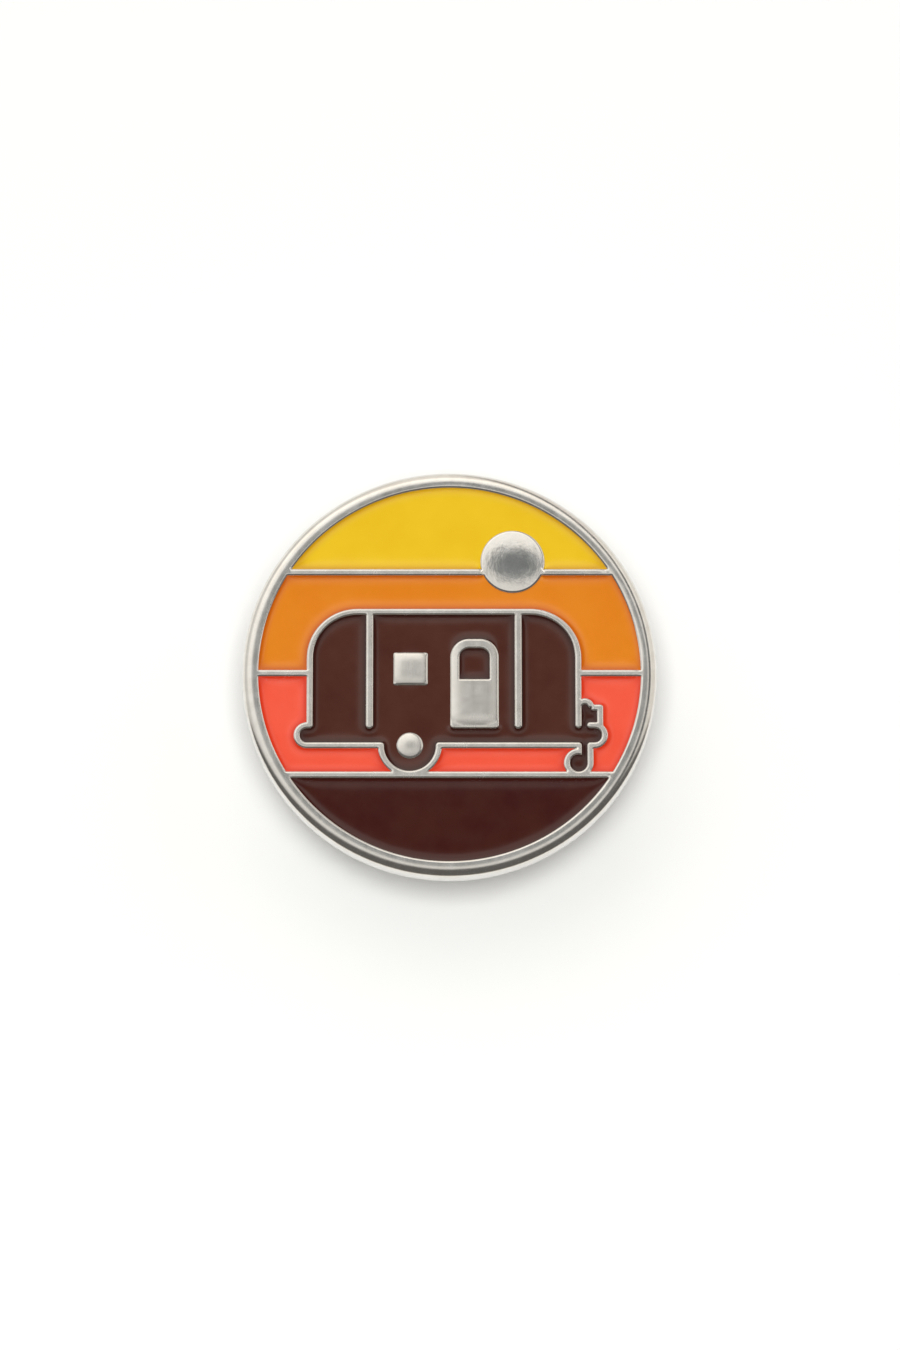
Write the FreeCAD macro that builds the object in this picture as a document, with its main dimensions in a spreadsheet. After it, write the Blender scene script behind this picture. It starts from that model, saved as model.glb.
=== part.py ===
"""Soft-enamel lapel pin: a round struck badge with two posts and two butterfly clutches.

Millimetres, +Z up.  The badge lies face up on the wing lips of its two clutches, so the
origin is under its middle, on the surface it rests on.  +X runs along the band lines of
the design and +Y points to the top of the design.

Two kinds of frame are used.  The badge is drawn on its back face (z = 0 there) and lifted
as a whole.  Posts and clutches are drawn with +Z away from the badge and turned over when
they are placed.
"""
import FreeCAD, Part
import math
import os

import Sketcher

VECTOR = FreeCAD.Vector
SHEET_NAME = "sizes"

# Every driving size, in millimetres or degrees.
SIZES = {
    # struck badge
    "disc_radius": 15.875,          # outer edge of the badge
    "disc_thickness": 2.0,          # back face to the top of the raised metal
    "rim_width": 1.25,              # plain metal border round the design
    "rim_rounding": 0.6,            # outer top edge of the border
    "back_rounding": 0.2,           # outer edge of the back
    "recess_depth": 0.6,            # struck cells, from the raised metal to their floor
    "enamel_sink": 0.25,            # enamel surface below the raised metal
    "line_width": 0.5,              # raised outlines
    "rim_joint": 0.3,               # how far a raised line runs on into the border
    # band lines and sun
    "band_height": 7.94,            # from one horizontal line to the next
    "band_line_width": 0.53,
    "sun_x": 4.85,
    "sun_y": 8.79,
    "sun_radius": 2.49,
    # trailer outline, by the middle of its lines
    "wall_left_x": -10.7,
    "wall_right_x": 9.86,
    "roof_y": 4.82,
    "roof_radius": 3.65,
    "chassis_y": -5.65,
    "bumper_radius": 0.785,         # walls and panel bars end level with its top line
    "bumper_overhang": 0.19,        # bumper's centre outside the left wall
    "bar_width": 0.57,
    "left_bar_x": -6.12,
    "right_bar_x": 5.26,
    # hitch and its jack, by the middle of their lines
    "hitch_top_y": -2.7,
    "hitch_knob_radius": 0.49,
    "hitch_reach": 1.65,            # hitch's outer line from the right wall
    "hitch_barb": 0.76,             # barb's length back from that line
    "lobe_reach": 1.22,             # lobe's centre from the right wall
    "jack_wheel_bore": 0.65,        # radius of the enamel disc inside the jack's wheel
    # wheel
    "hub_x": -3.03,
    "hub_radius": 1.04,
    "wheel_well_radius": 1.97,
    # window block and door
    "window_x": -2.98,
    "window_y": 0.35,
    "window_width": 2.68,
    "window_height": 2.61,
    "window_corner": 0.18,
    "door_x": 1.92,
    "door_width": 3.76,
    "door_top_y": 2.7,
    "door_top_corner": 1.45,
    "door_foot_corner": 0.3,
    "pane_width": 2.29,
    "pane_top_y": 1.95,
    "pane_bottom_y": -0.45,
    "pane_corner": 0.75,
    "pane_foot_corner": 0.06,
    # posts
    "post_spacing": 14.0,
    "post_radius": 0.55,
    "post_length": 8.0,             # back face to the tip
    "post_head_radius": 1.2,
    "post_head_thickness": 0.2,
    "post_point_length": 1.0,
    "post_point_radius": 0.12,
    "groove_from_tip": 2.0,
    "groove_width": 0.4,
    "groove_depth": 0.13,
    "seat_radius": 1.9,             # shallow seat that the head is soldered into
    "seat_depth": 0.3,
    "solder_climb": 0.2,            # solder collar on the shank, above the back face
    "solder_collar": 0.3,
    "solder_dip": 0.16,             # solder below the back face at the seat's wall
    # clutches, drawn up from the face that meets the cloth
    "cloth_gap": 2.2,               # badge's back to the clutch
    "clutch_height": 6.2,
    "clutch_radius": 5.7,
    "sheet_thickness": 0.35,
    "edge_rounding": 0.3,
    "lip_width": 0.8,               # rolled-in edge that holds the cap plate down
    "cap_clearance": 0.05,
    "funnel_mouth_radius": 1.5,
    "funnel_hole_radius": 0.75,
    "funnel_height": 0.95,
    "funnel_slope_height": 0.6,
    "housing_length": 5.7,
    "housing_width": 4.3,
    "housing_top": 2.75,
    "housing_corner": 1.0,
    "housing_hole_radius": 0.75,
    "slot_clearance": 0.12,
    # wing levers
    "jaw_gap": 0.24,
    "jaw_height": 1.6,              # middle of the jaw blade
    "grip_clearance": 0.03,
    "upright_y": 1.675,
    "jaw_width": 2.4,
    "wing_width": 4.6,
    "wing_root_height": 3.05,
    "wing_slope": 52.0,
    "wing_reach": 4.95,
    "wing_tip_corner": 1.7,
    "bend_radius": 0.2,
    "lip_end_rounding": 0.1,
    "shoulder_drop": 0.1,           # shoulders of the paddle below its bend
    # spring
    "spring_wire_radius": 0.15,
    "spring_clearance": 0.2,
    "spring_corner": 0.45,
    "spring_mouth": 1.2,            # gap between the spring's two ends
}

doc = FreeCAD.newDocument("enamel_pin")
sheet = doc.addObject("Spreadsheet::Sheet", SHEET_NAME)
for row, (alias, size) in enumerate(SIZES.items(), start=1):
    sheet.set(f"A{row}", alias)
    sheet.set(f"B{row}", str(size))
    sheet.setAlias(f"B{row}", alias)
doc.recompute()


class Formulas(dict):
    """Writes {name} in a formula as that cell of the sheet, or as a formula named here."""

    def __missing__(self, name):
        return f"{SHEET_NAME}.{name}"


FORMULAS = Formulas()


def formula(text):
    return text.format_map(FORMULAS)


def define(name, text):
    """Names a formula that others use."""
    FORMULAS[name] = f"({formula(text)})"


def value(text):
    """The number that a formula has now, to start a sketch from."""
    return float(sheet.evalExpression(formula(text)))


def bind(item, **formulas):
    for name, text in formulas.items():
        item.setExpression(name, formula(text))


def place(item, x="0", y="0", z="0"):
    for axis, text in zip("xyz", (x, y, z)):
        item.setExpression(f"Placement.Base.{axis}", formula(text))


# ---------------------------------------------------------------- levels and shared places
define("back_level", "{clutch_height} + {cloth_gap}")
define("floor_level", "{disc_thickness} - {recess_depth}")
define("fill_thickness", "{recess_depth} - {enamel_sink}")
define("recess_radius", "{disc_radius} - {rim_width}")
define("half_line", "{line_width} / 2")
define("half_bar", "{bar_width} / 2")
define("arch_radius", "{wheel_well_radius} + {half_line}")
define("jack_x", "{wall_right_x}")
define("jack_radius", "{jack_wheel_bore} + {half_line}")
define("jack_y", "{jack_wheel_bore} + {band_line_width} / 2 - {band_height}")
define("leg_x", "{jack_x} + {jack_radius}")
define("bumper_x", "{wall_left_x} - {bumper_overhang}")
define("bumper_y", "{chassis_y} + {bumper_radius}")
define("foot_y", "{chassis_y} + 2 * {bumper_radius}")
define("lobe_x", "{wall_right_x} + {lobe_reach}")
define("hitch_x", "{wall_right_x} + {hitch_reach}")
define("knob_x", "{wall_right_x} + {hitch_knob_radius}")
define("knob_end_x", "{knob_x} + {hitch_knob_radius}")
define("roof_left_x", "{wall_left_x} + {roof_radius}")
define("roof_right_x", "{wall_right_x} - {roof_radius}")
define("eaves_y", "{roof_y} - {roof_radius}")
define("arch_left_x", "{hub_x} - {arch_radius}")
define("arch_right_x", "{hub_x} + {arch_radius}")


# ---------------------------------------------------------------- solids of the design
class Level:
    """Prisms between two heights above the badge's back face."""

    def __init__(self, prefix, bottom, height):
        self.prefix = prefix
        self.bottom = bottom
        self.height = height

    def box(self, name, x_from, x_to, y_from, y_to):
        item = doc.addObject("Part::Box", f"{self.prefix}_{name}")
        bind(item, Length=f"({x_to}) - ({x_from})", Width=f"({y_to}) - ({y_from})", Height=self.height)
        place(item, x_from, y_from, self.bottom)
        return item

    def disc(self, name, x, y, radius):
        item = doc.addObject("Part::Cylinder", f"{self.prefix}_{name}")
        bind(item, Radius=radius, Height=self.height)
        place(item, x, y, self.bottom)
        return item


def cut(name, base, tool):
    item = doc.addObject("Part::Cut", name)
    item.Base = base
    item.Tool = tool
    return item


def common(name, first, second):
    item = doc.addObject("Part::Common", name)
    item.Base = first
    item.Tool = second
    return item


def fuse(name, items):
    item = doc.addObject("Part::MultiFuse", name)
    item.Shapes = items
    item.Refine = True
    return item


line_level = Level("line", "{floor_level}", "{recess_depth}")
fill_level = Level("fill", "{floor_level}", "{fill_thickness}")


def across(name, y, x_from, x_to, half="{half_line}"):
    """A raised line along X, by its middle."""
    return line_level.box(name, x_from, x_to, f"{y} - {half}", f"{y} + {half}")


def upright(name, x, y_from, y_to, half="{half_line}"):
    """A raised line along Y, by its middle."""
    return line_level.box(name, f"{x} - {half}", f"{x} + {half}", y_from, y_to)


def joint(name, x, y, radius="{half_line}"):
    """The round end of a line, or the round corner between two."""
    return line_level.disc(name, x, y, radius)


def ring(name, x, y, radius):
    """A whole raised ring, by its middle."""
    outer = line_level.disc(f"{name}_outer", x, y, f"{radius} + {{half_line}}")
    inner = line_level.disc(f"{name}_inner", x, y, f"{radius} - {{half_line}}")
    return cut(f"line_{name}", outer, inner)


def part_ring(name, x, y, radius, x_from, x_to, y_from, y_to):
    """The part of a raised ring that lies in a box given from the ring's middle."""
    window = line_level.box(f"{name}_window", f"{x} + ({x_from})", f"{x} + ({x_to})",
                            f"{y} + ({y_from})", f"{y} + ({y_to})")
    return common(f"line_{name}_part", ring(name, x, y, radius), window)


def plate(name, level, x, y_from, y_to, width, top_corner, foot_corner):
    """An upright block with rounded corners, by its middle line."""
    left = f"{x} - {width} / 2"
    right = f"{x} + {width} / 2"
    pieces = [
        level.box(f"{name}_tall", f"{left} + {top_corner}", f"{right} - {top_corner}", y_from, y_to),
        level.box(f"{name}_wide", left, right, f"{y_from} + {foot_corner}", f"{y_to} - {top_corner}"),
        level.box(f"{name}_foot", f"{left} + {foot_corner}", f"{right} - {foot_corner}",
                  y_from, f"{y_from} + {foot_corner}"),
    ]
    for side, edge, inward in (("left", left, "+"), ("right", right, "-")):
        top_x = f"{edge} {inward} {top_corner}"
        foot_x = f"{edge} {inward} {foot_corner}"
        pieces.append(level.disc(f"{name}_top_{side}", top_x, f"{y_to} - {top_corner}", top_corner))
        pieces.append(level.disc(f"{name}_foot_{side}", foot_x, f"{y_from} + {foot_corner}", foot_corner))
    return fuse(f"{level.prefix}_{name}", pieces)


WIDE = "{disc_radius}"
BAND_ROWS = (("upper", "{band_height}"), ("middle", "0"), ("lower", "-{band_height}"))

window_block = plate("window", line_level, "{window_x}", "{window_y} - {window_height} / 2",
                     "{window_y} + {window_height} / 2", "{window_width}",
                     "{window_corner}", "{window_corner}")
door_block = plate("door", line_level, "{door_x}", "{foot_y} - {half_line}", "{door_top_y}",
                   "{door_width}", "{door_top_corner}", "{door_foot_corner}")
pane_hole = plate("pane", line_level, "{door_x}", "{pane_bottom_y}", "{pane_top_y}",
                  "{pane_width}", "{pane_corner}", "{pane_foot_corner}")

# the lines that cross the whole badge stop at the trailer's silhouette
silhouette_level = Level("silhouette", "{floor_level}", "{recess_depth}")
silhouette = fuse("trailer_silhouette", [
    silhouette_level.box("body", "{wall_left_x}", "{wall_right_x}", "{chassis_y}", "{eaves_y}"),
    silhouette_level.box("roof", "{roof_left_x}", "{roof_right_x}", "{chassis_y}", "{roof_y}"),
    silhouette_level.disc("roof_left", "{roof_left_x}", "{eaves_y}", "{roof_radius}"),
    silhouette_level.disc("roof_right", "{roof_right_x}", "{eaves_y}", "{roof_radius}"),
    silhouette_level.disc("bumper", "{bumper_x}", "{bumper_y}", "{bumper_radius}"),
    silhouette_level.box("bumper_link", "{bumper_x}", "{wall_left_x}", "{chassis_y}", "{foot_y}"),
    silhouette_level.disc("lobe", "{lobe_x}", "{bumper_y}", "{bumper_radius}"),
    silhouette_level.box("lobe_link", "{wall_right_x}", "{lobe_x}", "{chassis_y}", "{foot_y}"),
    silhouette_level.box("hitch", "{wall_right_x}", "{hitch_x}", "{bumper_y}", "{hitch_top_y}"),
    silhouette_level.disc("knob", "{knob_x}", "{hitch_top_y}", "{hitch_knob_radius}"),
    silhouette_level.disc("wheel_well", "{hub_x}", "{chassis_y}", "{arch_radius}"),
    silhouette_level.disc("jack_wheel", "{jack_x}", "{jack_y}", "{jack_radius}"),
    silhouette_level.box("jack_leg", "{jack_x}", "{leg_x}", "{jack_y}", "{chassis_y}"),
])

band_lines = [
    across(f"{name}_band", y, f"-{WIDE}", WIDE, "{band_line_width} / 2") for name, y in BAND_ROWS
]
outer_lines = cut("line_bands", fuse("line_bands_whole", band_lines), silhouette)

jack_neck = line_level.box("jack_neck", "{jack_x} + {half_line}", "{leg_x} - {half_line}",
                           "{jack_y}", "{chassis_y}")

trailer_lines = [
    across("roof", "{roof_y}", "{roof_left_x}", "{roof_right_x}"),
    part_ring("roof_left_bend", "{roof_left_x}", "{eaves_y}", "{roof_radius}",
              f"-{WIDE}", "0", "0", WIDE),
    part_ring("roof_right_bend", "{roof_right_x}", "{eaves_y}", "{roof_radius}",
              "0", WIDE, "0", WIDE),
    upright("left_wall", "{wall_left_x}", "{foot_y}", "{eaves_y}"),
    joint("left_wall_foot", "{wall_left_x}", "{foot_y}"),
    upright("right_wall", "{wall_right_x}", "{foot_y}", "{eaves_y}"),
    joint("right_wall_foot", "{wall_right_x}", "{foot_y}"),
    across("bumper_top", "{foot_y}", "{bumper_x}", "{wall_left_x}"),
    part_ring("bumper", "{bumper_x}", "{bumper_y}", "{bumper_radius}",
              f"-{WIDE}", "0", f"-{WIDE}", WIDE),
    across("rear_chassis", "{chassis_y}", "{bumper_x}", "{arch_left_x}"),
    joint("arch_left_joint", "{arch_left_x}", "{chassis_y}"),
    part_ring("wheel_arch", "{hub_x}", "{chassis_y}", "{arch_radius}",
              f"-{WIDE}", WIDE, f"-{WIDE}", "0"),
    joint("arch_right_joint", "{arch_right_x}", "{chassis_y}"),
    across("front_chassis", "{chassis_y}", "{arch_right_x}", "{jack_x}"),
    joint("chassis_end", "{jack_x}", "{chassis_y}"),
    upright("jack_tube", "{jack_x}", "{jack_y} + {jack_radius}", "{chassis_y}"),
    cut("line_jack_ring", ring("jack_wheel", "{jack_x}", "{jack_y}", "{jack_radius}"), jack_neck),
    upright("jack_leg", "{leg_x}", "{jack_y}", "{chassis_y}"),
    joint("jack_leg_top", "{leg_x}", "{chassis_y}"),
    across("lobe_bottom", "{chassis_y}", "{leg_x}", "{lobe_x}"),
    part_ring("lobe", "{lobe_x}", "{bumper_y}", "{bumper_radius}",
              "0", WIDE, f"-{WIDE}", WIDE),
    across("barb", "{foot_y}", "{hitch_x} - {hitch_barb}", "{hitch_x}"),
    joint("barb_tip", "{hitch_x} - {hitch_barb}", "{foot_y}"),
    upright("hitch_front", "{hitch_x}", "{foot_y}", "{hitch_top_y}"),
    joint("hitch_corner", "{hitch_x}", "{hitch_top_y}"),
    across("hitch_top", "{hitch_top_y}", "{knob_end_x}", "{hitch_x}"),
    part_ring("knob", "{knob_x}", "{hitch_top_y}", "{hitch_knob_radius}",
              f"-{WIDE}", WIDE, "0", WIDE),
    joint("hub", "{hub_x}", "{chassis_y}", "{hub_radius}"),
    window_block,
    cut("line_door_panel", door_block, pane_hole),
]
for side in ("left", "right"):
    bar_x = f"{{{side}_bar_x}}"
    trailer_lines.append(upright(f"{side}_bar", bar_x, "{foot_y}", "{roof_y}", "{half_bar}"))
    trailer_lines.append(joint(f"{side}_bar_foot", bar_x, "{foot_y}", "{half_bar}"))

sun = line_level.disc("sun", "{sun_x}", "{sun_y}", "{sun_radius}")
inside_rim = line_level.disc("inside_rim", "0", "0", "{recess_radius} + {rim_joint}")
outside_lines = common("line_outside", fuse("line_outer", [outer_lines, sun]), inside_rim)
line_work = fuse("line_work", trailer_lines + [outside_lines])


# ---------------------------------------------------------------- sketches
def origin_plane(body, role):
    return next(item for item in body.Origin.OriginFeatures if item.Role == role)


def new_sketch(body, name, role, offset="0"):
    sketch = body.newObject("Sketcher::SketchObject", name)
    sketch.AttachmentSupport = (origin_plane(body, role), "")
    sketch.MapMode = "FlatFace"
    sketch.setExpression("AttachmentOffset.Base.z", formula(offset))
    return sketch


def fix(sketch, kind, element, point, text):
    """Ties one coordinate of a sketch point to a formula."""
    index = sketch.addConstraint(Sketcher.Constraint(kind, -1, 1, element, point, value(text)))
    sketch.setExpression(f"Constraints[{index}]", formula(text))


def add_circle(sketch, x, y, radius):
    circle = Part.Circle(VECTOR(value(x), value(y), 0), VECTOR(0, 0, 1), value(radius))
    element = sketch.addGeometry(circle, False)
    fix(sketch, "DistanceX", element, 3, x)
    fix(sketch, "DistanceY", element, 3, y)
    index = sketch.addConstraint(Sketcher.Constraint("Radius", element, value(radius)))
    sketch.setExpression(f"Constraints[{index}]", formula(radius))


def rounded_corner(before, corner, after, radius):
    """Where the arc of a rounded corner starts and ends, and its middle."""
    inward = (before - corner).normalize()
    outward = (after - corner).normalize()
    half_angle = inward.getAngle(outward) / 2
    reach = radius / math.tan(half_angle)
    start = corner + inward * reach
    end = corner + outward * reach
    bisector = (inward + outward).normalize()
    return start, end, corner + bisector * (radius / math.sin(half_angle))


def add_outline(sketch, corners):
    """A closed outline of straight edges.  A corner is (x, y) or (x, y, rounding)."""
    count = len(corners)
    points = [VECTOR(value(corner[0]), value(corner[1]), 0) for corner in corners]
    entries = []
    exits = []
    arcs = {}
    for index, corner in enumerate(corners):
        if len(corner) < 3:
            entries.append(points[index])
            exits.append(points[index])
            continue
        radius = value(corner[2])
        start, end, centre = rounded_corner(points[index - 1], points[index],
                                            points[(index + 1) % count], radius)
        entries.append(start)
        exits.append(end)
        arcs[index] = (start, end, centre, radius)
    edges = [
        sketch.addGeometry(Part.LineSegment(exits[index], entries[(index + 1) % count]), False)
        for index in range(count)
    ]
    for index, corner in enumerate(corners):
        edge_in = edges[index - 1]
        edge_out = edges[index]
        if index not in arcs:
            sketch.addConstraint(Sketcher.Constraint("Coincident", edge_in, 2, edge_out, 1))
            fix(sketch, "DistanceX", edge_out, 1, corner[0])
            fix(sketch, "DistanceY", edge_out, 1, corner[1])
            continue
        start, end, centre, radius = arcs[index]
        turn = (start - centre).cross(end - centre).z
        first, last = (start, end) if turn > 0 else (end, start)
        angles = [math.atan2(point.y - centre.y, point.x - centre.x) for point in (first, last)]
        circle = Part.Circle(centre, VECTOR(0, 0, 1), radius)
        arc = sketch.addGeometry(Part.ArcOfCircle(circle, angles[0], angles[1]), False)
        start_point, end_point = (1, 2) if turn > 0 else (2, 1)
        sketch.addConstraint(Sketcher.Constraint("Tangent", edge_in, 2, arc, start_point))
        sketch.addConstraint(Sketcher.Constraint("Tangent", arc, end_point, edge_out, 1))
        mark = sketch.addGeometry(Part.Point(points[index]), True)
        fix(sketch, "DistanceX", mark, 1, corner[0])
        fix(sketch, "DistanceY", mark, 1, corner[1])
        sketch.addConstraint(Sketcher.Constraint("PointOnObject", mark, 1, edge_in))
        sketch.addConstraint(Sketcher.Constraint("PointOnObject", mark, 1, edge_out))
        number = sketch.addConstraint(Sketcher.Constraint("Radius", arc, radius))
        sketch.setExpression(f"Constraints[{number}]", formula(corner[2]))


def add_open_path(sketch, points, names, radius, rounding):
    """Straight runs with a rounded corner at each inner point."""
    exits = [points[0]]
    entries = []
    arcs = []
    for index in range(1, len(points) - 1):
        start, end, centre = rounded_corner(points[index - 1], points[index], points[index + 1], radius)
        entries.append(start)
        exits.append(end)
        arcs.append((start, end, centre))
    entries.append(points[-1])
    edges = [sketch.addGeometry(Part.LineSegment(first, last), False)
             for first, last in zip(exits, entries)]
    for point, element, place_on in ((0, edges[0], 1), (len(points) - 1, edges[-1], 2)):
        fix(sketch, "DistanceX", element, place_on, names[point][0])
        fix(sketch, "DistanceY", element, place_on, names[point][1])
    for index, (start, end, centre) in enumerate(arcs, start=1):
        turn = (start - centre).cross(end - centre).z
        first, last = (start, end) if turn > 0 else (end, start)
        angles = [math.atan2(point.y - centre.y, point.x - centre.x) for point in (first, last)]
        circle = Part.Circle(centre, VECTOR(0, 0, 1), radius)
        arc = sketch.addGeometry(Part.ArcOfCircle(circle, angles[0], angles[1]), False)
        start_point, end_point = (1, 2) if turn > 0 else (2, 1)
        sketch.addConstraint(Sketcher.Constraint("Tangent", edges[index - 1], 2, arc, start_point))
        sketch.addConstraint(Sketcher.Constraint("Tangent", arc, end_point, edges[index], 1))
        mark = sketch.addGeometry(Part.Point(points[index]), True)
        fix(sketch, "DistanceX", mark, 1, names[index][0])
        fix(sketch, "DistanceY", mark, 1, names[index][1])
        sketch.addConstraint(Sketcher.Constraint("PointOnObject", mark, 1, edges[index - 1]))
        sketch.addConstraint(Sketcher.Constraint("PointOnObject", mark, 1, edges[index]))
        number = sketch.addConstraint(Sketcher.Constraint("Radius", arc, radius))
        sketch.setExpression(f"Constraints[{number}]", formula(rounding))


def rectangle(x_from, x_to, y_from, y_to, rounding=None):
    corners = [(x_from, y_from), (x_to, y_from), (x_to, y_to), (x_from, y_to)]
    return [corner + (rounding,) for corner in corners] if rounding else corners


def revolve(body, name, corners):
    """A turned shape: its outline lies in the XZ plane and goes round Z."""
    sketch = new_sketch(body, f"{name}_outline", "XZ_Plane")
    add_outline(sketch, corners)
    feature = body.newObject("PartDesign::Revolution", name)
    feature.Profile = sketch
    feature.ReferenceAxis = (sketch, ["V_Axis"])
    feature.Angle = 360
    sketch.Visibility = False
    return feature


def pad(body, sketch, name, length, midplane=False):
    feature = body.newObject("PartDesign::Pad", name)
    feature.Profile = sketch
    bind(feature, Length=length)
    feature.Midplane = midplane
    return feature


def pocket(body, sketch, name, length, midplane=False, upwards=False):
    feature = body.newObject("PartDesign::Pocket", name)
    feature.Profile = sketch
    bind(feature, Length=length)
    feature.Midplane = midplane
    feature.Reversed = upwards
    return feature


def new_body(name):
    body = doc.addObject("PartDesign::Body", name)
    body.Label = name
    return body


parts = []


def finish(item, label):
    item.Label = label
    parts.append(item)


# ---------------------------------------------------------------- struck badge
blank = new_body("blank")
revolve(blank, "blank_turned", [
    ("0", "0"),
    ("{disc_radius}", "0", "{back_rounding}"),
    ("{disc_radius}", "{disc_thickness}", "{rim_rounding}"),
    ("{recess_radius}", "{disc_thickness}"),
    ("{recess_radius}", "{floor_level}"),
    ("0", "{floor_level}"),
])
seats = new_sketch(blank, "seat_outlines", "XY_Plane")
for seat_x in ("-{post_spacing} / 2", "{post_spacing} / 2"):
    add_circle(seats, seat_x, "0", "{seat_radius}")
pocket(blank, seats, "post_seats", "{seat_depth}", upwards=True)

struck_body = fuse("struck_body", [blank, line_work])
place(struck_body, z="{back_level}")
finish(struck_body, "struck_body")

# ---------------------------------------------------------------- enamel fills
fill_disc = fill_level.disc("disc", "0", "0", "{recess_radius}")


def band_fill(name, y_from, y_to, x_from=f"-{WIDE}", x_to=WIDE):
    """The enamel of one band, between the middles of two lines."""
    region = fill_level.box(f"{name}_region", x_from, x_to, y_from, y_to)
    return common(f"fill_{name}_band", fill_disc, region)


walls = fuse("walls_and_trailer", [line_work, silhouette])
FILLS = (
    ("yellow_sky_enamel", band_fill("yellow", "{band_height}", WIDE), line_work),
    ("orange_sky_enamel", band_fill("orange", "0", "{band_height}"), walls),
    ("left_coral_enamel", band_fill("left_coral", "-{band_height}", "0", x_to="{hub_x}"), walls),
    ("middle_coral_enamel",
     band_fill("middle_coral", "-{band_height}", "0", "{hub_x}", "{jack_x}"), walls),
    ("right_coral_enamel", band_fill("right_coral", "-{band_height}", "0", "{jack_x}"), walls),
    ("ground_enamel", band_fill("ground", f"-{WIDE}", "-{band_height}"), line_work),
)
for label, fill, edges in FILLS:
    enamel = cut(label, fill, edges)
    place(enamel, z="{back_level}")
    finish(enamel, label)

pane = plate("pane", fill_level, "{door_x}", "{pane_bottom_y}", "{pane_top_y}",
             "{pane_width}", "{pane_corner}", "{pane_foot_corner}")
trailer_space = common("fill_trailer", silhouette, fill_disc)
trailer_and_pane = cut("fill_trailer_cells", trailer_space, line_work)
trailer_enamel = cut("trailer_enamel", trailer_and_pane, pane_hole)
place(trailer_enamel, z="{back_level}")
finish(trailer_enamel, "trailer_enamel")
place(pane, z="{back_level}")
finish(pane, "door_window_enamel")

# ---------------------------------------------------------------- posts and their solder
HEAD_FLOOR = "-{seat_depth}"
HEAD_TOP = "{post_head_thickness} - {seat_depth}"
GROOVE_END = "{post_length} - {groove_from_tip}"
GROOVE_START = "{post_length} - {groove_from_tip} - {groove_width}"
GROOVE_MIDDLE = "{post_length} - {groove_from_tip} - {groove_width} / 2"
POINT_START = "{post_length} - {post_point_length}"


def make_post(name):
    body = new_body(name)
    revolve(body, f"{name}_turned", [
        ("0", HEAD_FLOOR),
        ("{post_head_radius}", HEAD_FLOOR),
        ("{post_head_radius}", HEAD_TOP),
        ("{post_radius}", HEAD_TOP),
        ("{post_radius}", GROOVE_START),
        ("{post_radius} - {groove_depth}", GROOVE_MIDDLE),
        ("{post_radius}", GROOVE_END),
        ("{post_radius}", POINT_START),
        ("{post_point_radius}", "{post_length}"),
        ("0", "{post_length}"),
    ])
    return body


def make_solder(name):
    body = new_body(name)
    revolve(body, f"{name}_pool", [
        ("{post_head_radius}", HEAD_FLOOR),
        ("{seat_radius}", HEAD_FLOOR),
        ("{seat_radius}", "-{solder_dip}"),
        ("{post_radius} + {solder_collar}", "0"),
        ("{post_radius}", "{solder_climb}"),
        ("{post_radius}", HEAD_TOP),
        ("{post_head_radius}", HEAD_TOP),
    ])
    return body


# ---------------------------------------------------------------- clutches
define("cap_top", "2 * {sheet_thickness}")
define("base_height", "3 * {sheet_thickness}")
define("well_radius", "{clutch_radius} - {sheet_thickness}")
define("cavity_length", "{housing_length} - 2 * {sheet_thickness}")
define("cavity_width", "{housing_width} - 2 * {sheet_thickness}")
define("cavity_corner", "{housing_corner} - {sheet_thickness}")
define("cavity_top", "{housing_top} - {sheet_thickness}")
define("half_sheet", "{sheet_thickness} / 2")
define("outer_bend", "{bend_radius} + {sheet_thickness}")
define("knee_rise", "{clutch_height} - {half_sheet} - {wing_root_height}")
define("knee_y", "{upright_y} + {knee_rise} / tan({wing_slope})")
define("root_mitre", "{half_sheet} * tan((90 - {wing_slope}) / 2)")
define("knee_mitre", "{half_sheet} * tan({wing_slope} / 2)")
define("through_cut", "4 * {clutch_height}")
define("spring_half_length", "{upright_y} + {half_sheet} + {spring_clearance} + {spring_wire_radius}")
define("spring_half_width", "{jaw_width} / 2 + {spring_clearance} + {spring_wire_radius}")


def make_clutch_base(name):
    """The pressed cup that lies on the cloth, with its funnel and rolled-in edge."""
    body = new_body(name)
    revolve(body, f"{name}_pressed", [
        ("{funnel_mouth_radius}", "0"),
        ("{clutch_radius}", "0", "{edge_rounding}"),
        ("{clutch_radius}", "{base_height}", "{edge_rounding}"),
        ("{clutch_radius} - {lip_width}", "{base_height}"),
        ("{clutch_radius} - {lip_width}", "{cap_top}"),
        ("{well_radius}", "{cap_top}"),
        ("{well_radius}", "{sheet_thickness}"),
        ("{funnel_mouth_radius} + {half_sheet}", "{sheet_thickness}"),
        ("{funnel_hole_radius} + {sheet_thickness}", "{funnel_height}"),
        ("{funnel_hole_radius}", "{funnel_height}"),
        ("{funnel_hole_radius}", "{funnel_slope_height}"),
    ])
    return body


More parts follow.
